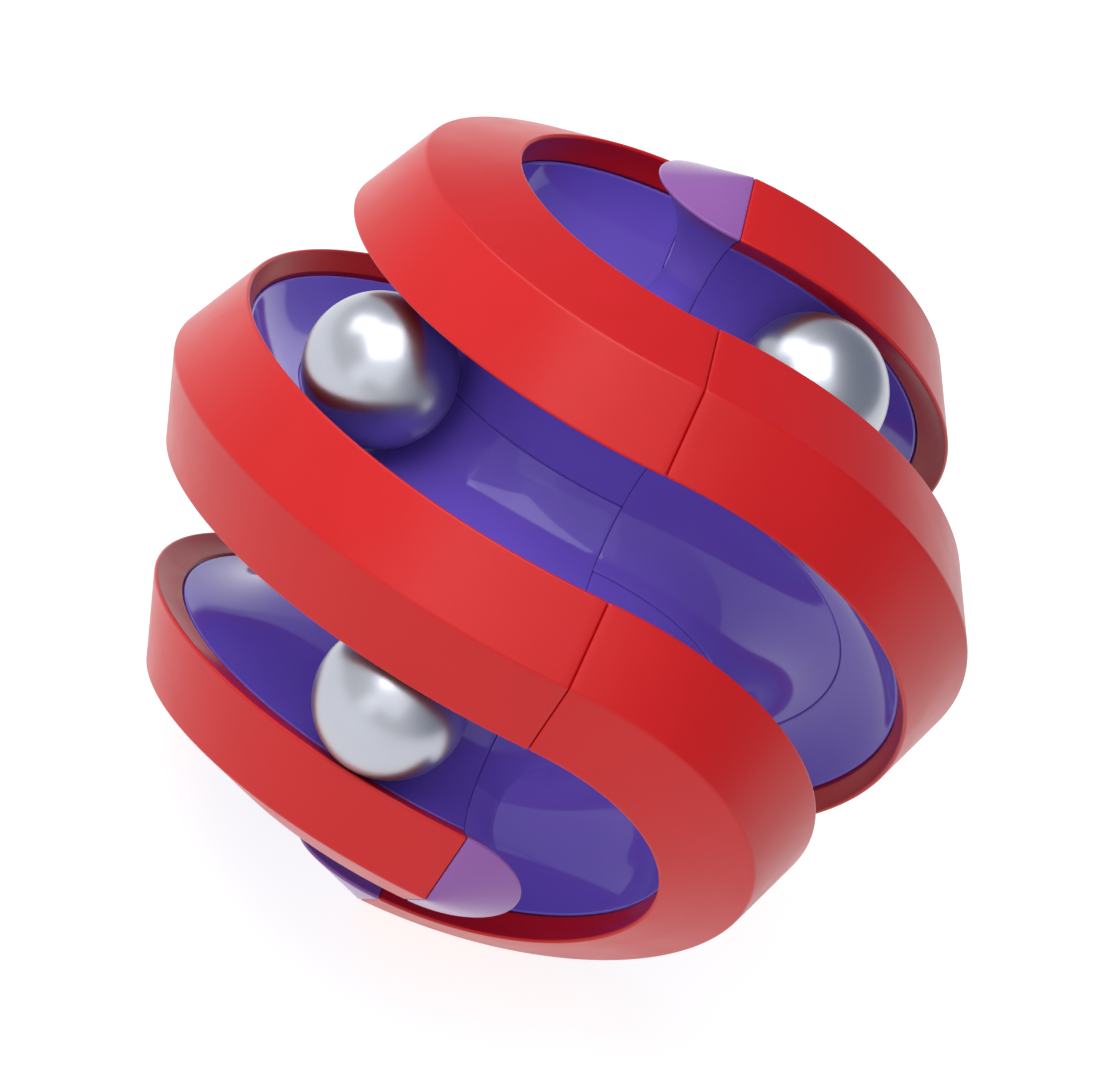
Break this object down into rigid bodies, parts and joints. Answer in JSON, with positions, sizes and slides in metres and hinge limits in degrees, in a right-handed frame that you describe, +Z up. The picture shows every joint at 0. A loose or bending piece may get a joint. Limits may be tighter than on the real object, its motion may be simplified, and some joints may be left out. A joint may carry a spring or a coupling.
{
  "type": "rotating track ball puzzle",
  "caption": "Faceted track ball in two twisting halves; steel balls roll in round channels between overhanging rails and pass on where the channels line up.",
  "frame": {"origin": "centre of the toy, on the twist axis and midway in the seam between the halves", "axes": "+X along the twist axis towards the right half; +Z up, square to the flat side of the octagonal seam section that the toy lies on; +Y completes the frame"},
  "size_m": [0.065, 0.06, 0.06],
  "materials": {
    "rail_plastic": "glossy red moulded plastic",
    "track_plastic": "glossy blue-violet moulded plastic",
    "island_plastic": "glossy light purple moulded plastic",
    "ball_steel": "polished steel ball",
    "hardware_steel": "zinc-plated steel",
    "nut_brass": "turned brass",
    "bush_plastic": "natural acetal"
  },
  "bodies": {
    "left_half": {"left_core": "track_plastic", "left_carrier": "track_plastic", "left_equator_rail": "rail_plastic", "left_upper_cap": "track_plastic", "left_upper_island": "island_plastic", "left_upper_shoulder_rail": "rail_plastic", "left_lower_cap": "track_plastic", "left_lower_island": "island_plastic", "left_lower_shoulder_rail": "rail_plastic", "spring_washer": "hardware_steel", "axle_spring": "hardware_steel"},
    "right_half": {"right_core": "track_plastic", "right_carrier": "track_plastic", "right_equator_rail": "rail_plastic", "right_upper_cap": "track_plastic", "right_upper_island": "island_plastic", "right_upper_shoulder_rail": "rail_plastic", "right_lower_cap": "track_plastic", "right_lower_island": "island_plastic", "right_lower_shoulder_rail": "rail_plastic", "pivot_bush": "bush_plastic", "thrust_washer": "bush_plastic", "axle_nut": "nut_brass", "axle_screw": "hardware_steel"},
    "ball_left_upper": {"ball_left_upper": "ball_steel"},
    "ball_left_lower": {"ball_left_lower": "ball_steel"},
    "ball_right_upper": {"ball_right_upper": "ball_steel"}
  },
  "joints": [
    {"name": "twist", "type": "hinge", "parent": "left_half", "child": "right_half", "pos_m": [0, 0, 0], "axis": [1, 0, 0], "continuous": true},
    {"name": "roll_left_upper", "type": "hinge", "parent": "left_half", "child": "ball_left_upper", "pos_m": [0, 0, 0], "axis": [0, 0.3827, 0.9239], "range_deg": [-103, 45]},
    {"name": "roll_left_lower", "type": "hinge", "parent": "left_half", "child": "ball_left_lower", "pos_m": [0, 0, 0], "axis": [0, 0.3827, 0.9239], "range_deg": [-140, 7.5]},
    {"name": "roll_right_upper", "type": "hinge", "parent": "right_half", "child": "ball_right_upper", "pos_m": [0, 0, 0], "axis": [0, 0.9239, 0.3827], "range_deg": [-9.5, 138]}
  ]
}
